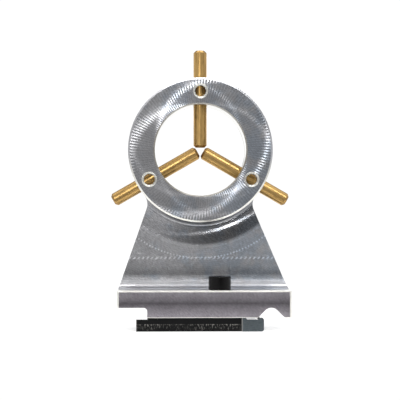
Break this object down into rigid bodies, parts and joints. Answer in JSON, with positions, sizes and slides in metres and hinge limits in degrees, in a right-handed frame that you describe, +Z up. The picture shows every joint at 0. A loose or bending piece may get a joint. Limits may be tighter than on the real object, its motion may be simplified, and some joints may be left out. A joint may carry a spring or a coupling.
{
  "type": "lathe steady rest",
  "caption": "Fixed steady rest for a small lathe: bored ring on a tapered web, sliding brass fingers held by lock screws, and a base with flat and vee clamped to the bed by a plate.",
  "frame": {"origin": "under the spindle axis, midway through the depth of the body, on the plane that the clamp plate stands on", "axes": "+Z up; -Y is the operator's side, where the ledge and clamp screw are; +X to the right, towards the vee"},
  "size_m": [0.0806, 0.024, 0.126],
  "materials": {
    "milled_aluminium": "milled, with cutter marks",
    "finger_brass": "drawn brass, slightly tarnished",
    "black_screw_steel": "glossy black oxide",
    "clamp_steel": "blackened, with one milled block"
  },
  "bodies": {
    "body": {"rest_body": "milled_aluminium"},
    "finger_top": {"finger_top": "finger_brass"},
    "lock_screw_top": {"lock_screw_top": "black_screw_steel"},
    "finger_left": {"finger_left": "finger_brass"},
    "lock_screw_left": {"lock_screw_left": "black_screw_steel"},
    "finger_right": {"finger_right": "finger_brass"},
    "lock_screw_right": {"lock_screw_right": "black_screw_steel"},
    "clamp_screw": {"clamp_screw": "black_screw_steel"},
    "clamp_plate": {"clamp_plate": "clamp_steel"}
  },
  "joints": [
    {"name": "finger_top_slide", "type": "slide", "parent": "body", "child": "finger_top", "axis": [0, 0, 1], "range_m": [0, 0.0186]},
    {"name": "finger_left_slide", "type": "slide", "parent": "body", "child": "finger_left", "axis": [-0.866, 0, -0.5], "range_m": [0, 0.0186]},
    {"name": "finger_right_slide", "type": "slide", "parent": "body", "child": "finger_right", "axis": [0.866, 0, -0.5], "range_m": [0, 0.0186]},
    {"name": "lock_top_turn", "type": "hinge", "parent": "body", "child": "lock_screw_top", "pos_m": [0, 0.0095, 0.1071], "axis": [0, 1, 0], "range_deg": [0, 360]},
    {"name": "lock_left_turn", "type": "hinge", "parent": "body", "child": "lock_screw_left", "pos_m": [-0.02295, 0.0095, 0.06735], "axis": [0, 1, 0], "range_deg": [0, 360]},
    {"name": "lock_right_turn", "type": "hinge", "parent": "body", "child": "lock_screw_right", "pos_m": [0.02295, 0.0095, 0.06735], "axis": [0, 1, 0], "range_deg": [0, 360]},
    {"name": "clamp_turn", "type": "hinge", "parent": "body", "child": "clamp_screw", "pos_m": [0.0085, -0.005, 0.0181], "axis": [0, 0, 1], "range_deg": [0, 900]},
    {"name": "plate_drop", "type": "slide", "parent": "body", "child": "clamp_plate", "axis": [0, 0, -1], "range_m": [0, 0.0025]}
  ],
  "couplings": [
    {"joint": "clamp_turn", "follows": "plate_drop", "rad_per_m": 6283.2}
  ]
}
